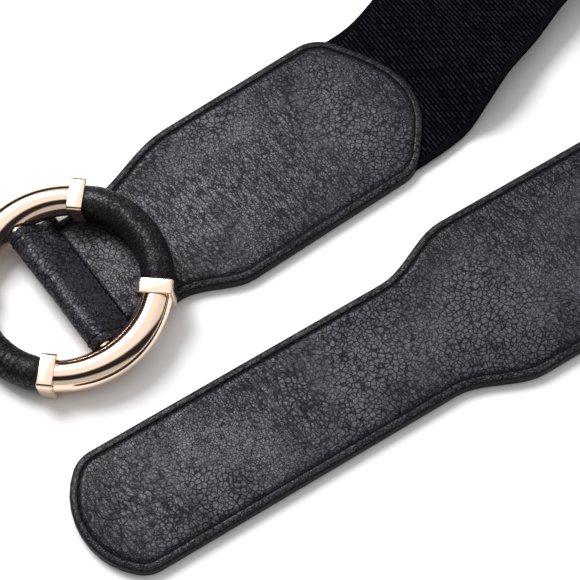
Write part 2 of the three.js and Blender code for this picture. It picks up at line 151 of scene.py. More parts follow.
def route_stretches():
    """Stretches of even curvature, as (length, turn in radians), from the crossbar to the tip."""
    veer, leave, close = (radians(turn) for turn in (VEER, VEER_EXIT, TONGUE_HEADING))
    climb = RUN_OUT * sin((veer + leave) / 2)
    spacing = BUCKLE_HALF + STRAP_GAP + TONGUE_HALF
    level_span = ELASTIC_WIDTH + spacing + VEER_LENGTH * (1 - cos(veer)) / veer
    arc_share = BEND_ROUND / (cos(leave) + cos(close))
    bend_share = arc_share * (pi + leave + close) + 1 - BEND_ROUND
    band = ELASTIC_SHOWN + VEER_LEAD - VEER_LENGTH
    beside = (band - bend_share * level_span) / (1 + bend_share * climb)
    span = level_span + beside * climb
    radius, quarter = arc_share * span, pi / 2
    shoulder_start = BUCKLE_NECK - BUCKLE_SHOULDER / 2
    return [
        (shoulder_start, 0),
        (BUCKLE_SHOULDER, -radians(NECK_HEADING)),
        (BUCKLE_END - VEER_LEAD - shoulder_start - BUCKLE_SHOULDER, 0),
        (VEER_LENGTH, veer),
        (beside * RUN_OUT, leave - veer),
        (radius * (leave + quarter), -(leave + quarter)),
        ((1 - BEND_ROUND) * span, 0),
        (radius * (close + quarter), -(close + quarter)),
        (beside * (1 - RUN_OUT) + TONGUE_END - TONGUE_START, 0),
    ]


STRETCHES = route_stretches()


def route(station):
    """Where the belt's outer edge is in plan at a station, and its heading."""
    x, y, heading, left = 0, 0, radians(NECK_HEADING), station
    for index, (length, turn) in enumerate(STRETCHES):
        last = index == len(STRETCHES) - 1 or left <= length
        travel = left if last else length
        half_swing = turn * travel / length / 2
        chord = travel * (sin(half_swing) / half_swing if abs(half_swing) > NO_TURN else 1)
        x += chord * cos(heading + half_swing)
        y += chord * sin(heading + half_swing)
        heading += 2 * half_swing
        if last:
            return x, y, heading
        left -= length


print("the tip is at", [round(value, 1) for value in route(TONGUE_END)[:2]], "mm from the crossbar")


# %% [markdown]
# ## The twist of the far bend
#
# Flat webbing can't bend sideways in its own plane. It turns up on its outer edge, goes round, and lies
# down again. A short table says how far it has turned, and a smooth curve joins the table's rows.

# %% Twist and place
def twist_slope(row):
    if row in (0, len(TWIST) - 1):
        return 0
    (share_a, turn_a), (_, turn), (share_b, turn_b) = TWIST[row - 1 : row + 2]
    return 0 if (turn_b - turn) * (turn - turn_a) <= 0 else (turn_b - turn_a) / (share_b - share_a)


def twist_at(station):
    """How far the band has turned up on its outer edge, by a smooth curve through the table's rows."""
    share = (station - BUCKLE_END) / ELASTIC_SHOWN
    if not 0 < share < 1:
        return 0
    after = next(i for i, row in enumerate(TWIST) if row[0] > share)
    (share_a, turn_a), (share_b, turn_b) = TWIST[after - 1], TWIST[after]
    length = share_b - share_a
    t = (share - share_a) / length
    lean = twist_slope(after - 1) * t * (1 - t) ** 2 - twist_slope(after) * t**2 * (1 - t)
    return radians(mix(turn_a, turn_b, ease(t)) + lean * length)


def place(station, across, height):
    """A point of the belt in millimetres, before the origin is moved to the middle of the whole."""
    x, y, heading = route(station)
    twist = twist_at(station)
    inward = ELASTIC_WIDTH / 2 - across
    level = inward * cos(twist) - height * sin(twist)
    rise = inward * sin(twist) + height * cos(twist)
    return Vector((x + level * sin(heading), y - level * cos(heading), rise))


bend_middle = mix(BUCKLE_END, TONGUE_START, 0.6)
print("the bend stands", round(place(bend_middle, -ELASTIC_WIDTH / 2, 0).z, 1), "mm high")

# %% [markdown]
# ## The outlines of the two panels
#
# A cutter makes each panel from a card pattern: a narrow part, two eased shoulders, a wide part and a
# blunt round end. The same pattern is drawn here, as pairs of station and across. The buckle panel's neck
# is drawn too long, so that its stitch groove runs out at the cut, and is cut to length later.

# %% Draw the outlines
CURVE_STEPS = 10
PANEL_END = {"arc": 1.42, "corner": 0.43}
TONGUE_TIP = {"arc": 1.18, "corner": 0.5}
INNER_SHOULDER = 0.68
NECK_SPARE = 8


def round_end(half, arc, corner):
    """A blunt end from its outer side to its inner side: reach back from the apex, and across."""
    arc, corner = half * arc, half * corner
    corner_across = half - corner
    corner_back = arc - sqrt((arc - corner) ** 2 - corner_across**2)
    meet = asin(corner_across / (arc - corner))
    turns = [mix(pi / 2, meet, i / CURVE_STEPS) for i in range(CURVE_STEPS + 1)]
    side = [(corner_back - corner * cos(a), corner_across + corner * sin(a)) for a in turns]
    turns = [mix(meet, 0, i / (CURVE_STEPS / 2)) for i in range(1, CURVE_STEPS // 2 + 1)]
    side += [(arc - arc * cos(a), arc * sin(a)) for a in turns]
    return side + [(back, -across) for back, across in reversed(side[:-1])]


def shoulder(middle, length, start, end):
    shares = [i / CURVE_STEPS for i in range(CURVE_STEPS + 1)]
    return [(middle + length * (share - 0.5), mix(start, end, ease(share))) for share in shares]


def other_side(side):
    return [(station, -across) for station, across in reversed(side)]


def buckle_outline():
    narrow, wide = NECK_WIDTH / 2, BUCKLE_HALF
    outer = shoulder(BUCKLE_NECK, BUCKLE_SHOULDER, narrow, wide)
    inner = shoulder(BUCKLE_NECK, BUCKLE_SHOULDER * INNER_SHOULDER, narrow, wide)
    end = [(BUCKLE_END - back, across) for back, across in round_end(wide, **PANEL_END)]
    start = NECK_START - NECK_SPARE
    drawn = [(start, narrow), *outer, *end, *other_side(inner), (start, -narrow)]
    return [place(station, across + BUCKLE_SHIFT, 0) for station, across in drawn]


def tongue_outline():
    narrow, wide = TONGUE_WIDTH / 2, TONGUE_HALF
    side = shoulder(TONGUE_START + TONGUE_WIDE, TONGUE_SHOULDER, wide, narrow)
    tip = [(TONGUE_END - back, across) for back, across in round_end(narrow, **TONGUE_TIP)]
    end = [(TONGUE_START + back, -across) for back, across in round_end(wide, **PANEL_END)]
    return [place(station, across, 0) for station, across in [*side, *tip, *other_side(side), *end]]


# The tongue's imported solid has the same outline, so its corner gives the shift to the part's frame
drawn_corner = Vector(map(min, *tongue_outline()))
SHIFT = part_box("tongue_panel")[0] / MM - drawn_corner
SHIFT.z = 0
print("shift to the part's frame, mm:", [round(value, 2) for value in SHIFT])


# %% [markdown]
# ## Shader sums
#
# Leather and elastic are painted by arithmetic on textures. Wrapping a socket in a small class lets that
# arithmetic be written as Python, which is easier to read and change than a drawn tangle of nodes.

# %% A socket that adds and multiplies
class Wire:
    """A node's output that can stand in a sum."""

    def __init__(self, recipe, socket):
        self.recipe, self.socket = recipe, socket

    def maths(self, operation, first, second):
        return self.recipe.node("ShaderNodeMath", {"operation": operation}, {0: first, 1: second})

    def __add__(self, other):
        return self.maths("ADD", self, other)

    def __sub__(self, other):
        return self.maths("SUBTRACT", self, other)

    def __rsub__(self, other):
        return self.maths("SUBTRACT", other, self)

    def __mul__(self, other):
        return self.maths("MULTIPLY", self, other)

    def __truediv__(self, other):
        return self.maths("DIVIDE", self, other)

    __radd__, __rmul__ = __add__, __mul__

    def one(self, operation):
        return self.maths(operation, self, 0.0)


# %% [markdown]
# ## A recipe for a material
#
# Every finish here starts from the same shader. A recipe holds its node tree and has one short method for
# each kind of texture, so that a finish reads as a list of what varies and by how much.

# %% A node tree under construction
class Recipe:
    """The node tree of a material, or of the room, under construction."""

    def __init__(self, name, owners=bpy.data.materials, shader="Principled BSDF"):
        self.owner = owners.new(name)
        self.owner.use_nodes = True
        self.tree = self.owner.node_tree
        self.shader = self.tree.nodes[shader]

    def connect(self, socket, value):
        if isinstance(value, Wire):
            self.tree.links.new(value.socket, socket)
        else:
            socket.default_value = value

    def node(self, kind, settings=None, inputs=None, out=0):
        made = self.tree.nodes.new(kind)
        for name, value in (settings or {}).items():
            setattr(made, name, value)
        for name, value in (inputs or {}).items():
            self.connect(made.inputs[name], value)
        return Wire(self, made.outputs[out])

    def object_place(self):
        return self.node("ShaderNodeTexCoord", out="Object")

    def noise(self, vector, scale, detail=2.0, out="Fac"):
        inputs = {"Vector": vector, "Scale": scale, "Detail": detail}
        return self.node("ShaderNodeTexNoise", None, inputs, out)

    def cracks(self, vector, scale):
        """Distance from the nearest crack between cells."""
        settings = {"feature": "DISTANCE_TO_EDGE"}
        return self.node("ShaderNodeTexVoronoi", settings, {"Vector": vector, "Scale": scale}, "Distance")

    def ramp(self, value, low, high, start=0.0, end=1.0):
        settings = {"interpolation_type": "SMOOTHSTEP"}
        inputs = {"Value": value, "From Min": low, "From Max": high, "To Min": start, "To Max": end}
        return self.node("ShaderNodeMapRange", settings, inputs)

    def blend(self, share, first, second):
        """Mixes two colours."""
        settings = {"data_type": "RGBA"}
        return self.node("ShaderNodeMix", settings, {0: share, 6: first, 7: second}, 2)

    def mixed(self, share, first, second):
        """Mixes two numbers."""
        return first * (1 - share) + second * share

    def bend(self, vector, by, amount):
        settings = {"operation": "MULTIPLY_ADD"}
        return self.node("ShaderNodeVectorMath", settings, {0: by, 1: (amount,) * 3, 2: vector})

    def turn(self, vector, angle, scale):
        inputs = {"Vector": vector, "Rotation": (0, 0, angle), "Scale": scale}
        return self.node("ShaderNodeMapping", {"vector_type": "TEXTURE"}, inputs)

    def finish(self, colour, roughness, height=None, depth=0.0, **plain):
        """Sets the shader: what varies is linked, and what is the same all over is set on its socket."""
        self.connect(self.shader.inputs["Base Color"], colour)
        self.connect(self.shader.inputs["Roughness"], roughness)
        for name, value in plain.items():
            self.shader.inputs[name.replace("_", " ")].default_value = value
        if height is not None:
            bump = self.node("ShaderNodeBump", None, {"Height": height, "Distance": depth}, "Normal")
            self.connect(self.shader.inputs["Normal"], bump)
        return self.owner


# %% [markdown]
# ## Leather
#
# The leather has flat pebbles one to two millimetres wide with dark cracks between them. Where the hide
# was pulled, the pebbles stretch into creases, and long fine lines cross both. A picture could be wrapped
# round the part, but it would smear at the edges. So distances between cells make the cracks, in two
# warped round nets and two stretched ones, and broad noises decide where each net shows. The shine is a
# coat over dark leather. It is taken away in the cracks, where little light comes out.
# The near-black of the cracks is painted shade in the grain's real cracks, and the field is painted
# darker near its groove as painted shade.

# %% Leather
PEBBLE_NET, SMALL_NET, CREASE_NET, SWELLING_NET, FINE_NET = 1000, 1900, 1150, 1500, 2600
WARP_NET, WARP = 420, 0.0017
CREASE_STRETCH, LINE_STRETCH, LINES_TURN = 2.1, 5, radians(130)
CREASE_REACH = 0.28
# The cracks' near-black colour is painted shade in the grain's real cracks
CRACK_SHADE, HIDE_GREY, HIDE_VIOLET = (0.002, 0.002, 0.003, 1), (0.05, 0.05, 0.05), (0.053, 0.047, 0.053)
HIDE_BLUE = 0.022
LEATHER_BUMP, BLACK_SHINE, COAT_ROUGHNESS = 0.0005, 0.12, 0.42


def leather(name, crease_angle, pebble=1.8, crease_share=0.5, tone=1.0, polish=1.07):
    """Pebbles are so many millimetres wide. Tone is how pale it is, and polish how much it shines."""
    paint = Recipe(name)
    spot = paint.object_place()
    bent = paint.bend(spot, paint.noise(spot, WARP_NET, 3, "Color"), WARP)
    crack_width = 0.05 + 0.24 * paint.noise(spot, 170, 2)

    def net(vector, cells, high=1.0, start=0.0):
        """Dark cracks round cells. The scale is in cells to the metre for a pebble of one millimetre."""
        return paint.ramp(paint.cracks(vector, cells / pebble) / crack_width, 0.0, high, start, 1.0)

    def stretched(angle, stretch):
        return paint.turn(bent, angle, (stretch, 1, 1))

    pebbles, small = net(bent, PEBBLE_NET), net(bent, SMALL_NET, 1.1)
    creases = net(stretched(crease_angle, CREASE_STRETCH), CREASE_NET)
    lines = net(stretched(crease_angle + LINES_TURN, LINE_STRETCH), CREASE_NET, 0.9, 0.12)
    reach = crease_share * CREASE_REACH
    creased = paint.ramp(paint.noise(spot, 26, 2), 0.62 - reach, 0.8 - reach)
    smoother = paint.ramp(paint.noise(spot, 19, 1), 0.46, 0.6, 0.0, 0.85)
    lined = paint.ramp(paint.noise(spot, 22, 1), 0.44, 0.56)
    fold = paint.ramp((paint.noise(bent, 150, 2) - 0.5).one("ABSOLUTE"), 0.0, 0.02, 0.5, 1.0)
    cells = paint.mixed(creased, pebbles, creases) * (0.45 + 0.55 * small)
    grain = paint.mixed(smoother, cells, small) * paint.mixed(lined, 1, lines) * fold
    swelling, fine = paint.noise(bent, SWELLING_NET / pebble, 2), paint.noise(spot, FINE_NET, 2)
    height = grain * (0.5 + swelling) + fine * 0.1
    # Painted shade: the field's colour is darker near its groove and lightest in the middle
    edge_shade = paint.node("ShaderNodeAttribute", {"attribute_name": "edge_shade"}, out="Fac")
    shade = (0.05 + 0.95 * grain) * (0.2 + 1.2 * swelling + 0.8 * fine) * (0.64 + 0.36 * edge_shade)
    blue = HIDE_BLUE * min(tone, 1)
    plain, violet = ([r * tone, g * tone, b * tone + blue, 1] for r, g, b in (HIDE_GREY, HIDE_VIOLET))
    tint = paint.ramp(paint.noise(spot, 34, 1), 0.5, 0.7)
    # Where shade is low the colour goes to the cracks' black: painted shade in the grain's cracks
    colour = paint.blend(shade, CRACK_SHADE, paint.blend(tint, plain, violet))
    paint.connect(paint.shader.inputs["Coat Weight"], shade * polish)
    shine = {"Specular_IOR_Level": BLACK_SHINE, "Coat_Roughness": COAT_ROUGHNESS}
    return paint.finish(colour, 0.8 - 0.3 * grain, height, LEATHER_BUMP, **shine)


panel_leather = leather("panel_leather", radians(-38))
rim_leather = leather("rim_leather", radians(50), pebble=1.4, tone=0.8, polish=1.05)
strap_leather = leather("strap_leather", radians(8), 1.9, crease_share=0.9, tone=1.3, polish=1.0)
# The sleeves are the same hide; their very low tone is painted shade, so that they come out darker
shaded_sleeve_leather = leather("shaded_sleeve_leather", radians(70), 2.2, crease_share=0.7, tone=0.12, polish=0.9)
print("nodes in the panels' leather:", len(panel_leather.node_tree.nodes))


# %% [markdown]
# ## Painted edge and thread
#
# A cut edge of leather is sealed with black paint, which is smoother than the leather, and the thread is
# black too. Both are seen as dark lines, so a faint change of colour and a low bump are enough.
# The same black lines the stitch groove, where it is painted shade.

# %% Painted edge and thread
def edge_paint_and_groove_shade():
    paint = Recipe("edge_paint_and_groove_shade")
    spot = paint.object_place()
    coarse, fine = paint.noise(spot, 130, 3), paint.noise(spot, 900, 2)
    colour = paint.blend(coarse, (0.0015, 0.0015, 0.002, 1), (0.005, 0.005, 0.006, 1))
    return paint.finish(colour, 0.4 + 0.2 * coarse, fine, 0.00006, Specular_IOR_Level=BLACK_SHINE)


def thread():
    paint = Recipe("thread")
    strands = paint.noise(paint.turn(paint.object_place(), 0.6, (1, 3, 1)), 2400, 1)
    colour = paint.blend(strands, (0.001, 0.001, 0.0015, 1), (0.006, 0.006, 0.007, 1))
    return paint.finish(colour, 0.55 + 0.2 * strands, strands, 0.00008, Specular_IOR_Level=BLACK_SHINE)


black_edge_and_groove_shade, thread_black = edge_paint_and_groove_shade(), thread()
print("looks:", black_edge_and_groove_shade.name, thread_black.name)

# %% [markdown]
# ## Elastic
#
# Ribbed elastic is woven: covered rubber runs along it, and weft threads cross it as short dashes that
# step sideways from rib to rib. Threads as shapes would be far too many, so sums draw the dashes. Their
# map is in millimetres across and along the band, so the ribs follow the bend.

# %% Elastic
RIB_PITCH, DASH_PITCH, DASH_STEP, DASH_SCATTER = 1.4, 3.3, 0.43, 0.3
SELVEDGE, SELVEDGE_FADE, SELVEDGE_SHINE = 2.1, 0.5, 0.12
ELASTIC_BLACK, ELASTIC_THREAD = (0.0004, 0.0004, 0.0009, 1), (0.0195, 0.0205, 0.027, 1)


def elastic_weave():
    paint = Recipe("elastic_weave")
    mapped = paint.node("ShaderNodeUVMap", {"uv_map": "UVMap"})
    across = paint.node("ShaderNodeSeparateXYZ", None, {0: mapped}, "X")
    along = Wire(paint, across.socket.node.outputs["Y"])

    def scattered(dimensions, name, value):
        settings = {"noise_dimensions": dimensions}
        return paint.node("ShaderNodeTexWhiteNoise", settings, {name: value}, "Value")

    def from_middle(value):
        return (value.one("FRACT") - 0.5).one("ABSOLUTE")

    rib = along / RIB_PITCH
    row = rib.one("FLOOR")
    run = across / DASH_PITCH + row * DASH_STEP + scattered("1D", "W", row) * DASH_SCATTER
    one_dash = paint.node("ShaderNodeCombineXYZ", None, {0: run.one("FLOOR"), 1: row})
    strength = scattered("2D", "Vector", one_dash)
    dash, crest = paint.ramp(from_middle(run), 0.5, 0.36), paint.ramp(from_middle(rib), 0.36, 0.02)
    field = ELASTIC_WIDTH / 2 - SELVEDGE
    inside = paint.ramp(across.one("ABSOLUTE"), field, field - SELVEDGE_FADE)
    fuzz = paint.noise(paint.object_place(), 2600, 2)
    woven = dash * crest * inside * (0.25 + 0.75 * strength)
    height = woven * 0.7 + crest * 0.4 * inside + fuzz * 0.2
    lit = woven * (0.4 + 0.9 * fuzz) + (1 - inside) * SELVEDGE_SHINE
    colour = paint.blend(lit, ELASTIC_BLACK, ELASTIC_THREAD)
    return paint.finish(colour, 0.9 - 0.1 * woven, height, 0.0002, Specular_IOR_Level=0.02)


weave = elastic_weave()
print("nodes in the elastic:", len(weave.node_tree.nodes))


# %% [markdown]
# ## Metal and the table
#
# The ring is zinc under a thin rose gold plating: a mirror with a trace of polishing marks, only a few
# thousandths of a millimetre deep. The snap is plain nickel, and the table is dull white.

# %% Plating, nickel and table
def plating():
    paint = Recipe("rose_gold")
    spot = paint.object_place()
    marks = paint.noise(paint.turn(spot, 0.3, (1, 6, 1)), 900, 2)
    colour = paint.blend(paint.noise(spot, 45, 1), (0.93, 0.69, 0.53, 1), (0.95, 0.73, 0.58, 1))
    return paint.finish(colour, 0.07 + 0.07 * marks, marks, 0.000004, Metallic=1.0)


def nickel():
    paint = Recipe("nickel")
    marks = paint.noise(paint.object_place(), 1500, 2)
    colour = paint.blend(marks, (0.5, 0.48, 0.45, 1), (0.62, 0.6, 0.57, 1))
    return paint.finish(colour, 0.25 + 0.2 * marks, marks, 0.00003, Metallic=1.0)


def table_top():
    paint = Recipe("table_white")
    cloud = paint.noise(paint.object_place(), 3, 1)
    colour = paint.blend(cloud, (0.86, 0.86, 0.86, 1), (0.88, 0.88, 0.88, 1))
    return paint.finish(colour, 0.9, Specular_IOR_Level=0.1)


rose_gold, dull_nickel, table_white = plating(), nickel(), table_top()
print("looks:", rose_gold.name, dull_nickel.name, table_white.name)


# %% [markdown]
# ## From bmesh to piece
#
# Each piece is built in millimetres in the part's frame, so its object stays at the origin, unturned and
# unscaled. It rides on one body of the imported part, takes its materials, and hides the imported solids
# that it stands for.

# %% Turn a bmesh into a piece
def mesh_of(bm, name, materials=()):
    """Turns a bmesh in millimetres into a mesh."""
    for vertex in bm.verts:
        vertex.co *= MM
    mesh = bpy.data.meshes.new(name)
    bm.to_mesh(mesh)
    bm.free()
    for material in materials:
        mesh.materials.append(material)
    return mesh


def piece(bm, name, body, materials, replaces=()):
    """Makes an object from a bmesh in the part's frame, and puts it on a body."""
    mesh = mesh_of(bm, name, materials)
    mesh.shade_smooth()
    made = stand(name, mesh)
    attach(made, body)
    if replaces:
        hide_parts(*replaces)
    print(name, len(mesh.polygons), "faces")
    return made


# %% [markdown]
# ## A stitched panel
#
# A real panel is two layers of leather with the elastic's end between them, sewn together near the edge.
# The thread pulls the top layer down into a groove, and the edge outside it stands up as a round rim with
# painted side walls. Insetting the outline step by step draws that profile all round. The field inside is
# then cut into a lattice, so that it can swell a little as padded leather does.

# %% Groove, rim and field
WALL_FOOT, WALL_TOP = 0.35, 3.75
PAINTED_STEPS = [(0.1, 0.4), (0.25, 0.32)]
RIM_STEPS = [(0.45, 0.24), (0.6, 0.14), (0.6, 0.05), (0.4, -0.08)]
GROOVE_STEPS = [(0.25, -0.22), (0.2, -0.28), (0.2, -0.04)]
GROOVE_WALL = [(0.2, 0.06)]
FIELD_STEPS = [(0.25, 0.26), (0.4, 0.2), (0.7, 0.1)]
FIELD, EDGE_PAINT_AND_SHADE, RIM = range(3)
LATTICE, SAME_POINT = 2.5, 1e-5
FIELD_RISE, FIELD_REACH, EDGE_SHADE_REACH = 0.1, 14, 16
WAVE_RISE, WAVE_SCALE = 0.3, 0.05
RIPPLE_RISE, RIPPLE_SCALE, RIPPLE_REACH = 0.1, 0.16, 4


def picked(items, kind):
    return [item for item in items if isinstance(item, kind)]


def raised_copy(bm, face, rise):
    """Extrudes a face upward, and gives the new face at its end."""
    raised = bmesh.ops.extrude_face_region(bm, geom=[face], use_keep_orig=True)["geom"]
    top = picked(raised, BMFace)[0]
    bmesh.ops.translate(bm, verts=list(top.verts), vec=(0, 0, rise))
    return top


def raise_in(bm, face, steps):
    """Insets a face by each step's width, and moves what is inside it by the step's rise."""
    for width, rise in steps:
        bmesh.ops.inset_region(bm, faces=[face], thickness=width, use_even_offset=True, use_boundary=True)
        bmesh.ops.translate(bm, verts=list(face.verts), vec=(0, 0, rise))


def cut_lattice(bm, field, spacing):
    """Cuts a level face into squares."""
    for axis in (Vector((1, 0, 0)), Vector((0, 1, 0))):
        spots = [vertex.co.dot(axis) for face in field for vertex in face.verts]
        for i in range(1, int((max(spots) - min(spots)) / spacing)):
            edges = {edge for face in field for edge in face.edges}
            corners = {vertex for face in field for vertex in face.verts}
            plane = {"plane_co": axis * (min(spots) + i * spacing), "plane_no": axis, "dist": SAME_POINT}
            cut = bmesh.ops.bisect_plane(bm, geom=[*field, *edges, *corners], **plane)
            field = picked(cut["geom"], BMFace)
    return field


def swell(bm, vertices, groove, seed):
    """Raises a field between its grooves, most in the middle, with the slow waves of soft leather."""
    edge_shade = bm.verts.layers.float["edge_shade"]
    for vertex in vertices:
        flat = vertex.co.xy
        edge = min((point - flat).length for point in groove)
        wave = noise.noise(vertex.co * WAVE_SCALE + Vector((seed, 0, 0)))
        ripple = noise.noise(vertex.co * RIPPLE_SCALE + Vector((0, seed, 0)))
        vertex.co.z += ease(edge / FIELD_REACH) * (FIELD_RISE + WAVE_RISE * wave)
        vertex.co.z += ease(edge / RIPPLE_REACH) * RIPPLE_RISE * ripple
        # Stored for painted shade: darker near the groove and on the low waves, lightest in the middle
        vertex[edge_shade] = ease(edge / EDGE_SHADE_REACH) * (1 + WAVE_RISE * wave)


print("from edge to groove, mm:", round(sum(step[0] for step in PAINTED_STEPS + RIM_STEPS), 2))


# %% [markdown]
# ## Building a panel
#
# The side wall is extruded from the outline, and the top is inset step by step. The line at the bottom of
# the groove is kept for the stitches, and the distance from it decides how much the field swells.

# %% Build a stitched panel
FOOT_STEPS = [(0.35, -WALL_FOOT)]
GROOVE_POINTS = 6


def stitched_panel(outline, seed):
    """A panel's bmesh in the part's frame, and the line in the groove that the stitches follow."""
    bm = bmesh.new()
    bm.verts.layers.float.new("edge_shade")
    foot = bm.faces.new([bm.verts.new(point + SHIFT + Vector((0, 0, WALL_FOOT))) for point in outline])
    foot.normal_update()
    if foot.normal.z > 0:
        foot.normal_flip()
    top = raised_copy(bm, foot, WALL_TOP - WALL_FOOT)
    for face in bm.faces:
        face.material_index = EDGE_PAINT_AND_SHADE
    raise_in(bm, foot, FOOT_STEPS)
    # The groove and its inner wall take the painted edge's black, as painted shade in the groove
    for look, steps in ((EDGE_PAINT_AND_SHADE, PAINTED_STEPS), (RIM, RIM_STEPS), (EDGE_PAINT_AND_SHADE, GROOVE_STEPS)):
        top.material_index = look
        raise_in(bm, top, steps)
    line = [vertex.co.copy() for vertex in top.verts]
    raise_in(bm, top, GROOVE_WALL)
    top.material_index = FIELD
    raise_in(bm, top, FIELD_STEPS)
    edge = [vertex.co.xy for vertex in top.verts]
    pairs = zip(edge, edge[1:] + edge[:1])
    groove = [a.lerp(b, i / GROOVE_POINTS) for a, b in pairs for i in range(GROOVE_POINTS)]
    field = cut_lattice(bm, [top], LATTICE)
    swell(bm, {vertex for face in field for vertex in face.verts}, groove, seed)
    foot.material_index = FIELD
    bmesh.ops.recalc_face_normals(bm, faces=bm.faces)
    return bm, line


# %% [markdown]
# ## Stitches
#
# A lockstitch shows as short dashes of thread, each sunk a little at its ends where it goes through the
# leather. Each stitch is one small rounded grain of thread, laid along the groove at an even pitch. They
# are real shapes, because they catch the light and cast their own shadows in the groove.

# %% Sew along a line
STITCH_PITCH, STITCH_LENGTH, STITCH_WIDTH, STITCH_HEIGHT = 3.3, 2.9, 0.95, 0.55
STITCH_LEAN, STITCH_LIFT = 0.04, 0.06


def walk(points, pitch):
    """Points at an even pitch along a line, each with the line's direction there."""
    left, found = pitch / 2, []
    for a, b in zip(points, points[1:]):
        step = b - a
        while left < step.length:
            found.append((a + step.normalized() * left, step.normalized()))
            left += pitch
        left -= step.length
    return found


def sew(bm, points, lift=STITCH_LIFT):
    """Adds stitches along a line."""
    for spot, direction in walk(points, STITCH_PITCH):
        direction = direction + Vector([random.uniform(-STITCH_LEAN, STITCH_LEAN) for axis in range(3)])
        turn = direction.to_track_quat("X", "Z").to_matrix().to_4x4()
        size = Matrix.Diagonal((STITCH_LENGTH / 2, STITCH_WIDTH / 2, STITCH_HEIGHT / 2, 1))
        where = Matrix.Translation(spot + Vector((0, 0, lift))) @ turn @ size
        bmesh.ops.create_uvsphere(bm, u_segments=8, v_segments=5, radius=1, matrix=where)


print("gap between stitches, mm:", round(STITCH_PITCH - STITCH_LENGTH, 2))

# %% [markdown]
# ## The buckle panel
#
# The panel is made with its neck too long and then cut square across, as the real front layer is, so the
# rim and the stitches run out at the cut edge. The cut is filled with one flat face.

# %% Buckle panel
BUCKLE_SEED, TONGUE_SEED = 3.1, 8.4
panel_looks = [panel_leather, black_edge_and_groove_shade, rim_leather]
panel, line = stitched_panel(buckle_outline(), BUCKLE_SEED)
neck_x, neck_y, neck_heading = route(NECK_START)
neck_normal = Vector((cos(neck_heading), sin(neck_heading), 0))
neck_point = Vector((neck_x, neck_y, 0)) + SHIFT
everything = [*panel.verts, *panel.edges, *panel.faces]
cut = bmesh.ops.bisect_plane(
    panel, geom=everything, dist=SAME_POINT, plane_co=neck_point, plane_no=neck_normal, clear_inner=True
)
for face in bmesh.ops.edgenet_fill(panel, edges=picked(cut["geom_cut"], BMEdge))["faces"]:
    face.material_index = EDGE_PAINT_AND_SHADE
bmesh.ops.recalc_face_normals(panel, faces=panel.faces)
piece(panel, "buckle_leather", "belt", panel_looks, ["buckle_panel"])

kept = [point for point in line if (point - neck_point).dot(neck_normal) > 0]
start = max(range(len(kept)), key=lambda i: (kept[i] - kept[i - 1]).length)
seam = bmesh.new()
sew(seam, kept[start:] + kept[:start])
piece(seam, "buckle_stitches", "belt", [thread_black])

# %% [markdown]
# ## The tongue panel and its closure
#
# The tongue folds back through the ring and closes on itself with a snap in its back, let in flush. A
# boolean cuts its two pits, the plainest way to get a round hole across a lattice of faces.

# %% Tongue panel
SNAP_RADIUS, SNAP_THICKNESS, SNAP_FROM_TIP, SNAP_SPACING = 6.2, 1.6, 24, 84
SNAP_SEGMENTS = 40
snap_stations = [TONGUE_END - SNAP_FROM_TIP, TONGUE_END - SNAP_FROM_TIP - SNAP_SPACING]


def snap_place(station):
    """The snap's middle on the table, in the part's frame."""
    spot = place(station, 0, 0) + SHIFT
    return Vector((spot.x, spot.y, 0))


panel, line = stitched_panel(tongue_outline(), TONGUE_SEED)
tongue = piece(panel, "tongue_leather", "belt", panel_looks, ["tongue_panel"])
pits = bmesh.new()
for station in snap_stations:
    where = Matrix.Translation(snap_place(station))
    pit = {"radius1": SNAP_RADIUS + CLEARANCE, "radius2": SNAP_RADIUS + CLEARANCE}
    pit["depth"] = 2 * (SNAP_THICKNESS + CLEARANCE)
    bmesh.ops.create_cone(pits, cap_ends=True, segments=SNAP_SEGMENTS, matrix=where, **pit)
cutter = stand("cutter", mesh_of(pits, "cutter"))
carve = tongue.modifiers.new("pits", "BOOLEAN")
carve.operation, carve.solver, carve.object = "DIFFERENCE", "EXACT", cutter
bpy.context.view_layer.update()
carved = tongue.evaluated_get(bpy.context.evaluated_depsgraph_get())
carved_mesh = bpy.data.meshes.new_from_object(carved)
tongue.modifiers.remove(carve)
tongue.data = carved_mesh
bpy.data.objects.remove(cutter)
print("tongue with pits:", len(tongue.data.polygons), "faces")

seam = bmesh.new()
sew(seam, line + line[:1])
piece(seam, "tongue_stitches", "belt", [thread_black])


# %% [markdown]
# ## The snap halves
#
# Each half is a pressed disc with a rolled rim. The stud's middle stands out and the socket's is sunk.
# Insetting one round face in steps draws both, as it does the panel's edge.

# %% Snap halves
SNAP_SUNK = 0.3
ROLLED_RIM = [(0.12, -0.2), (0.25, -0.1), (0.5, 0), (0.25, 0.12), (0.2, 0.25)]
STUD_STEPS = [(2.2, 0), (0.15, -0.1), (0.2, -0.25), (0.3, -0.06)]
SOCKET_STEPS = [(1.9, 0), (0.2, 0.1), (0.25, 0.5)]


def snap(name, station, centre_steps):
    """A disc in its pit, its face turned down, with a rolled rim and a raised or sunk middle."""
    bm = bmesh.new()
    lying = Matrix.Translation(snap_place(station) + Vector((0, 0, SNAP_THICKNESS)))
    bmesh.ops.create_circle(bm, cap_ends=True, segments=SNAP_SEGMENTS, radius=SNAP_RADIUS, matrix=lying)
    back = bm.faces[:][0]
    raise_in(bm, raised_copy(bm, back, SNAP_SUNK - SNAP_THICKNESS), ROLLED_RIM + centre_steps)
    bmesh.ops.recalc_face_normals(bm, faces=bm.faces)
    piece(bm, name, "belt", [dull_nickel], [name.replace("_metal", "")])


snap("snap_stud_metal", snap_stations[0], STUD_STEPS)
snap("snap_socket_metal", snap_stations[1], SOCKET_STEPS)

# %% [markdown]
# ## The loop round the crossbar
#
# One strap of leather goes round the crossbar and back, and both its ends are sewn into the neck. A strip
# could be bent by hand, but a line in side view keeps the bore round: down from the neck, round the bar,
# and back. Soft leather bulges a little between its sewn sides, so a slow noise moves its surface.

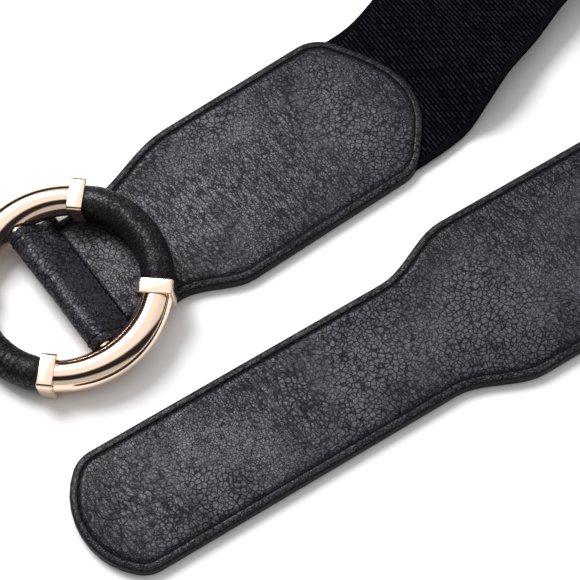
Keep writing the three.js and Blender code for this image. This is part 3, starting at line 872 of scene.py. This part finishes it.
# %% The loop's line in side view
LOOP_LEATHER, LOOP_WIDTH, LOOP_TAB, CROSSBAR_RADIUS = 1.5, 51.6, 1.8, 2.4
LOOP_FLARE, FLARE_START, FLARE_LENGTH = 0.1, 8, 5
LOOP_TURNS, LOOP_STRAIGHTS, LOOP_ROWS = 40, 8, 24
LOOP_BEFORE_NECK, LOOP_IN_NECK, TAB_GAP = 0.9, 2, 0.02

hinge = frame["joints"][0]
crossbar = Vector(hinge["pos_m"]) / MM
loop_middle = CROSSBAR_RADIUS + CLEARANCE + LOOP_LEATHER / 2
tab_height = PANEL_THICKNESS / 2 - crossbar.z
tab_offset = LOOP_TAB / 2 - LOOP_LEATHER / 2 + TAB_GAP


def flared(x, across):
    """The strap is wider toward the neck."""
    return across * (1 + LOOP_FLARE * ease((x - FLARE_START) / FLARE_LENGTH))


def touch_angle(end, side):
    """Where a line from a point in side view touches the roll's middle line."""
    return atan2(end[1], end[0]) + side * acos(loop_middle / hypot(*end))


def loop_path():
    """The strap's middle line in side view, from the lower tab round the crossbar to the upper tab."""
    reach, inside = NECK_START - LOOP_BEFORE_NECK, NECK_START + LOOP_IN_NECK
    upper, lower = (reach, tab_height + tab_offset), (reach, tab_height - tab_offset)
    start, end = touch_angle(upper, 1), touch_angle(lower, -1) + 2 * pi
    turns = [mix(end, start, i / LOOP_TURNS) for i in range(LOOP_TURNS + 1)]
    roll = [(loop_middle * cos(a), loop_middle * sin(a)) for a in turns]

    def straight(a, b):
        shares = [i / LOOP_STRAIGHTS for i in range(LOOP_STRAIGHTS)]
        return [(mix(a[0], b[0], share), mix(a[1], b[1], share)) for share in shares]

    under, over = straight(lower, roll[0]), straight(upper, roll[-1])
    return [(inside, lower[1]), *under, *roll, *reversed(over), (inside, upper[1])]


to_loop = Matrix.Translation(crossbar) @ Matrix.Rotation(radians(NECK_HEADING), 4, "Z")
path = loop_path()
print("points in the loop's line:", len(path))

# %% [markdown]
# ## The loop's leather
#
# The line is extruded across in rows, and then the strip gets its wall. The strap in the photograph is
# widest where it lies flat at the neck and narrower on the bar, so each row is flared toward the neck.

# %% Loop strap
LOOP_BULGE, BULGE_SCALE = 0.16, 0.12
strip = bmesh.new()
edge_points = [strip.verts.new((x, -LOOP_WIDTH / 2, z)) for x, z in path]
grown = [strip.edges.new(pair) for pair in zip(edge_points, edge_points[1:])]
for row in range(LOOP_ROWS):
    made = bmesh.ops.extrude_edge_only(strip, edges=grown)["geom"]
    grown = picked(made, BMEdge)
    bmesh.ops.translate(strip, verts=picked(made, BMVert), vec=(0, LOOP_WIDTH / LOOP_ROWS, 0))
bmesh.ops.recalc_face_normals(strip, faces=strip.faces)
if sum(face.normal.dot(face.calc_center_median()) for face in strip.faces) < 0:
    bmesh.ops.reverse_faces(strip, faces=strip.faces)
for vertex in strip.verts:
    radial = Vector((vertex.co.x, 0, vertex.co.z)).normalized()
    inner = 1 - (abs(vertex.co.y) / (LOOP_WIDTH / 2)) ** 4
    vertex.co += radial * LOOP_BULGE * inner * noise.noise(vertex.co * BULGE_SCALE)
    vertex.co.y = flared(vertex.co.x, vertex.co.y)
bmesh.ops.solidify(strip, geom=strip.faces[:], thickness=-LOOP_LEATHER / 2)
strip.transform(to_loop)
piece(strip, "loop_leather", "belt", [strap_leather], ["loop_strap"])

# %% [markdown]
# ## The loop's stitches
#
# A row of stitches runs along each side of the strap, on the strap's own line in side view, moved
# outward by half the leather's thickness.

# %% Loop stitches
STITCH_INSET, SEAM_LIFT = 3, 0.05
seam = bmesh.new()
for side in (-1, 1):
    across = side * (LOOP_WIDTH / 2 - STITCH_INSET)
    outer = []
    for (x, z), (x2, z2) in zip(path, path[1:]):
        normal = Vector((z2 - z, 0, x - x2)).normalized()
        if normal.dot(Vector((x, 0, z))) < 0:
            normal = -normal
        outer.append(Vector((x, flared(x, across), z)) + normal * (LOOP_LEATHER / 2 + SEAM_LIFT))
    sew(seam, outer, lift=0)
seam.transform(to_loop)
piece(seam, "loop_stitches", "belt", [thread_black])

# %% [markdown]
# ## The ring
#
# The ring is cast in one: two bare arcs that are fullest in the middle, four square collars, and a
# crossbar on two small lugs. Spinning a circle round the ring's middle gives each arc, and moving its
# points away from the tube's middle line gives the fullness. The collars are boxes with rounded edges.

# %% Ring sizes and its place
RING_RADIUS, RING_TURN, CROSSBAR_OFFSET = 32, 2.2, 1.5
LUG_RADIUS, LUG_LENGTH = 3, 0.8
GOLD_ARC, GOLD_END, GOLD_MIDDLE = 91.6, 5.5, 5.9
SLEEVE_RADIUS, SLEEVE_LEATHER = 5.7, 1.7
COLLAR_LENGTH, COLLAR_ACROSS, COLLAR_CORNER, COLLAR_BEVEL = 5.4, 12.4, 1.6, 0.35
BEFORE_START, TILT_TRIALS = 3, 3
half_sleeve = (180 - GOLD_ARC) / 2

# The right sleeve's highest point depends on the ring's tilt, which a few trials find
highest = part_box("leather_sleeve_right")[1].z / MM - crossbar.z
tilt = 0
for trial in range(TILT_TRIALS):
    rise = highest - SLEEVE_RADIUS * cos(tilt)
    tilt = asin(rise / (RING_RADIUS + CROSSBAR_OFFSET))
print("ring tilt", round(degrees(tilt), 2))
to_ring = to_loop @ Matrix.Rotation(-tilt, 4, "Y") @ Matrix.Translation((CROSSBAR_OFFSET, 0, 0))


def spun_tube(bm, start, sweep, radius_at, steps, sides):
    """A tube round the ring's middle, its radius given by the share along it. Angles in degrees."""
    upright = Matrix.Translation((RING_RADIUS, 0, 0)) @ Matrix.Rotation(pi / 2, 4, "X")
    upright = Matrix.Rotation(radians(start), 4, "Z") @ upright
    circle = bmesh.ops.create_circle(bm, segments=sides, radius=1, matrix=upright)["verts"]
    edges = {edge for vertex in circle for edge in vertex.link_edges}
    before = set(bm.verts) - set(circle)
    bmesh.ops.spin(
        bm, geom=[*circle, *edges], cent=(0, 0, 0), axis=(0, 0, 1), dvec=(0, 0, 0),
        angle=radians(sweep), steps=steps, use_merge=False, use_duplicate=False,
    )
    for vertex in set(bm.verts) - before:
        angle = atan2(vertex.co.y, vertex.co.x)
        share = ((degrees(angle) - start + BEFORE_START) % 360 - BEFORE_START) / sweep
        centre = Vector((cos(angle), sin(angle), 0)) * RING_RADIUS
        spoke = vertex.co - centre
        around = atan2(spoke.z, spoke.dot(centre))
        vertex.co = centre + spoke * radius_at(min(max(share, 0), 1), around)
    ends = [edge for vertex in set(bm.verts) - before for edge in vertex.link_edges if edge.is_boundary]
    bmesh.ops.holes_fill(bm, edges=list(set(ends)), sides=0)


# %% [markdown]
# ## Arcs, collars and crossbar
#
# The bare arcs and the rods under the sleeves are spun. A collar is a box whose long edges are rounded
# most, and then its two ends a little, as polishing leaves them. The crossbar and its lugs are cylinders.

# %% Ring
ARC_STEPS, ARC_SIDES, ROD_STEPS, ROD_SIDES, BAR_SIDES = 40, 40, 20, 16, 28
ROD_RADIUS = SLEEVE_RADIUS - SLEEVE_LEATHER - CLEARANCE
SHARP_ANGLE, NEARLY_ALONG = 40, 0.9


def arc_radius(share, around):
    return mix(GOLD_END, GOLD_MIDDLE, sin(pi * share) ** 2)


def rod_radius(share, around):
    return ROD_RADIUS


def bevelled(bm, edges, offset, segments):
    return bmesh.ops.bevel(
        bm, geom=edges, offset=offset, offset_type="OFFSET", affect="EDGES",
        segments=segments, profile=0.5, material=-1,
    )["faces"]


def collar(bm, angle):
    """A rounded box on the ring, at an angle in radians."""
    where = Matrix.Rotation(angle, 4, "Z") @ Matrix.Translation((RING_RADIUS, 0, 0))
    where = where @ Matrix.Diagonal((COLLAR_ACROSS, COLLAR_LENGTH, COLLAR_ACROSS, 1))
    corners = bmesh.ops.create_cube(bm, size=1, matrix=where)["verts"]
    edges = {edge for vertex in corners for edge in vertex.link_edges}
    way = Vector((-sin(angle), cos(angle), 0))
    steps = [(edge, (edge.verts[0].co - edge.verts[1].co).normalized()) for edge in edges]
    long = [edge for edge, step in steps if abs(step.dot(way)) > NEARLY_ALONG]
    rounded = bevelled(bm, long, COLLAR_CORNER, 6)
    near = {face for side in rounded for edge in side.edges for face in edge.link_faces}
    caps = {face for face in near if abs(face.normal.dot(way)) > NEARLY_ALONG}
    bevelled(bm, list({edge for face in caps for edge in face.edges}), COLLAR_BEVEL, 3)


def bar(bm, radius, start, end):
    """A cylinder along the crossbar's line."""
    where = Matrix.Translation((-CROSSBAR_OFFSET, (start + end) / 2, 0))
    where = where @ Matrix.Rotation(pi / 2, 4, "X")
    size = {"radius1": radius, "radius2": radius, "depth": end - start}
    bmesh.ops.create_cone(bm, cap_ends=True, segments=BAR_SIDES, matrix=where, **size)


ring = bmesh.new()
for turn in (0, 180):
    start = RING_TURN + half_sleeve + turn
    spun_tube(ring, start, GOLD_ARC, arc_radius, ARC_STEPS, ARC_SIDES)
    spun_tube(ring, start - 2 * half_sleeve, 2 * half_sleeve, rod_radius, ROD_STEPS, ROD_SIDES)
    for angle in (start - 2 * half_sleeve, start):
        collar(ring, radians(angle))
lug_end = RING_RADIUS - GOLD_MIDDLE - LUG_LENGTH
bar(ring, CROSSBAR_RADIUS, -RING_RADIUS, RING_RADIUS)
bar(ring, LUG_RADIUS, lug_end, RING_RADIUS)
bar(ring, LUG_RADIUS, -RING_RADIUS, -lug_end)
bmesh.ops.recalc_face_normals(ring, faces=ring.faces)
ring.transform(to_ring)
metal = piece(ring, "ring_metal", "ring", [rose_gold], ["buckle_ring"])
metal.data.set_sharp_from_angle(angle=radians(SHARP_ANGLE))

# %% [markdown]
# ## The leather sleeves
#
# Each sleeve is a strip of leather drawn tight round the rod and sewn on the ring's inner side. It is
# pinched under the collars at its ends and a little fuller between them. The seam stands up as a low
# ridge, and the leather puckers beside it.

# %% Sleeves
SEAM_TURN, SEAM_RIDGE, SEAM_WIDTH = radians(-150), 0.35, 0.22
PINCH_SHARE, PINCHED, FULL, PUCKER = 0.09, 0.35, 0.1, 0.1
PUCKER_ALONG, PUCKER_AROUND = 26, 1.3
SLEEVE_HELD, SLEEVE_STEPS, SLEEVE_SIDES = 0.4, 60, 40


def sleeve_radius(share, around):
    pinch = ease(min(share, 1 - share) / PINCH_SHARE)
    full = mix(SLEEVE_RADIUS - PINCHED, SLEEVE_RADIUS + FULL, pinch)
    apart = (around - SEAM_TURN + pi) % (2 * pi) - pi
    ridge = SEAM_RIDGE * exp(-((apart / SEAM_WIDTH) ** 2))
    pucker = PUCKER * noise.noise(Vector((share * PUCKER_ALONG, around * PUCKER_AROUND, 2)))
    return full + ridge + pucker


trim = degrees((COLLAR_LENGTH / 2 - SLEEVE_HELD) / RING_RADIUS)
for name, turn in (("right", 0), ("left", 180)):
    sleeve = bmesh.new()
    start = RING_TURN - half_sleeve + turn + trim
    spun_tube(sleeve, start, 2 * (half_sleeve - trim), sleeve_radius, SLEEVE_STEPS, SLEEVE_SIDES)
    bmesh.ops.recalc_face_normals(sleeve, faces=sleeve.faces)
    sleeve.transform(to_ring)
    piece(sleeve, f"sleeve_{name}", "ring", [shaded_sleeve_leather], [f"leather_sleeve_{name}"])

# %% [markdown]
# ## The elastic
#
# The webbing is woven ribs with a smooth woven edge on each side and a fine groove beside it. A grid is
# carried along the route, with more lines near the grooves than in the middle.

# %% Elastic band
ROW_LENGTH, GROOVE_PLACE, GROOVE_WIDTH, GROOVE_DEPTH = 1.6, 2.3, 0.22, 0.22
WALL_SHARE = 0.9
half_band = ELASTIC_WIDTH / 2
from_side = [0, 0.3, 1.0, 1.7, 2.05, 2.3, 2.55, 2.9, 4.5, 8, 12, 16, 20, 25, 30]
columns = [d - half_band for d in from_side] + [half_band - d for d in reversed(from_side[:-1])]


def elastic_lift(station):
    """Height of the band inside the panels, from which it settles to the table."""
    return (LEATHER + CLEARANCE) * sum(
        1 - ease(distance / ELASTIC_SETTLE)
        for distance in (station - BUCKLE_END, TONGUE_START - station)
    )


first, last = BUCKLE_END - ELASTIC_HELD, TONGUE_START + ELASTIC_HELD
rows = round((last - first) / ROW_LENGTH)
band = bmesh.new()
grid = bmesh.ops.create_grid(band, x_segments=len(columns) - 1, y_segments=rows, size=1)["verts"]
map_layer = band.loops.layers.uv.new("UVMap")
spots = {}
for vertex in grid:
    column = round((vertex.co.x + 1) / 2 * (len(columns) - 1))
    row = round((vertex.co.y + 1) / 2 * rows)
    station, across = mix(first, last, row / rows), columns[column]
    from_edge = half_band - abs(across)
    groove = GROOVE_DEPTH * exp(-(((from_edge - GROOVE_PLACE) / GROOVE_WIDTH) ** 2))
    vertex.co = place(station, across, ELASTIC_THICKNESS / 2 - groove)
    vertex.co += Vector((0, 0, elastic_lift(station))) + SHIFT
    spots[column, row] = vertex
print("rows and columns of the band:", rows, len(columns))

# %% [markdown]
# ## The elastic's map and wall
#
# A plain projection would smear where the band stands on edge. The map is measured along the mesh
# instead. The wall's thickness is a modifier, because the sheet itself is one layer of cloth.

# %% Elastic map and wall
along = {}
for column in range(len(columns)):
    length = 0
    for row in range(rows + 1):
        if row:
            length += (spots[column, row].co - spots[column, row - 1].co).length
        along[spots[column, row]] = (columns[column], length)
for face in band.faces:
    for corner in face.loops:
        corner[map_layer].uv = along[corner.vert]
if sum(face.normal.z for face in band.faces) < 0:
    bmesh.ops.reverse_faces(band, faces=band.faces)
elastic = piece(band, "elastic_webbing", "belt", [weave], ["elastic_band"])
wall = elastic.modifiers.new("wall", "SOLIDIFY")
wall.thickness, wall.offset = ELASTIC_THICKNESS * MM * WALL_SHARE, 0
ELASTIC_WIDTH * MM

# %% [markdown]
# ## Table and light
#
# The belt lies on a white table, lit brightly enough for it to come out pure white, so that only soft
# shadows stay. One square light stands high behind the belt. It draws the shadows toward the camera, and
# its mirror image is the white streak on the gold.

# %% Table and light
TABLE_SIZE, TABLE_DROP = 3000, 0.2
WINDOW_PLACE, WINDOW_SIZE, WINDOW_POWER = Vector((-0.15, 0.85, 1.1)), 0.6, 20

plain = bmesh.new()
bmesh.ops.create_grid(plain, x_segments=1, y_segments=1, size=TABLE_SIZE)
table = stand("table", mesh_of(plain, "table", [table_white]))
table.location.z = -TABLE_DROP * MM

window = bpy.data.lights.new("window", "AREA")
window.shape, window.size, window.size_y = "RECTANGLE", WINDOW_SIZE, WINDOW_SIZE
window.energy = WINDOW_POWER
light = stand("window", window)
light.location, light.rotation_euler = WINDOW_PLACE, aimed(-WINDOW_PLACE)
print("light is", round(WINDOW_PLACE.length, 2), "m from the belt")


# %% [markdown]
# ## The room
#
# Polished gold shows the room more than itself. A ready-made picture of a studio would put its bands in
# the wrong places, so the room is drawn: bright above and behind the camera's line of sight, dark at the
# camera, and paler again below. Its dark part gives the dark lines on the arcs.

# %% Room
ROOM_STRENGTH, ROOM_REST, SIDE_LEAN = 1.14, 0.02, 0.22

paint = Recipe("room", bpy.data.worlds, "Background")
way = paint.node("ShaderNodeTexCoord", out="Generated")
height = paint.node("ShaderNodeSeparateXYZ", None, {0: way}, "Z")


def toward(axis):
    """How nearly a way into the room follows one of the camera's axes."""
    direction = camera.rotation_euler.to_matrix() @ Vector(axis)
    settings = {"operation": "DOT_PRODUCT"}
    return paint.node("ShaderNodeVectorMath", settings, {0: way, 1: direction}, "Value")


above = toward((0, 1, 0))
lean = toward((1, 0, 0)) * SIDE_LEAN + height
lit = paint.ramp(above, -0.06, 0.1, 0.0, 0.76) * paint.ramp(lean, 0.35, 0.47)
crown = lit * paint.ramp(height, 0.6, 1.0, 0.0, 0.28) + lit
total = crown + paint.ramp(above, -0.48, -0.6, 0.0, 0.5) + ROOM_REST
paint.connect(paint.shader.inputs["Color"], (1, 1, 1, 1))
paint.connect(paint.shader.inputs["Strength"], total * ROOM_STRENGTH)
bpy.context.scene.world = paint.owner
bpy.context.scene.view_settings.view_transform = "Standard"
print("nodes in the room:", len(paint.tree.nodes))
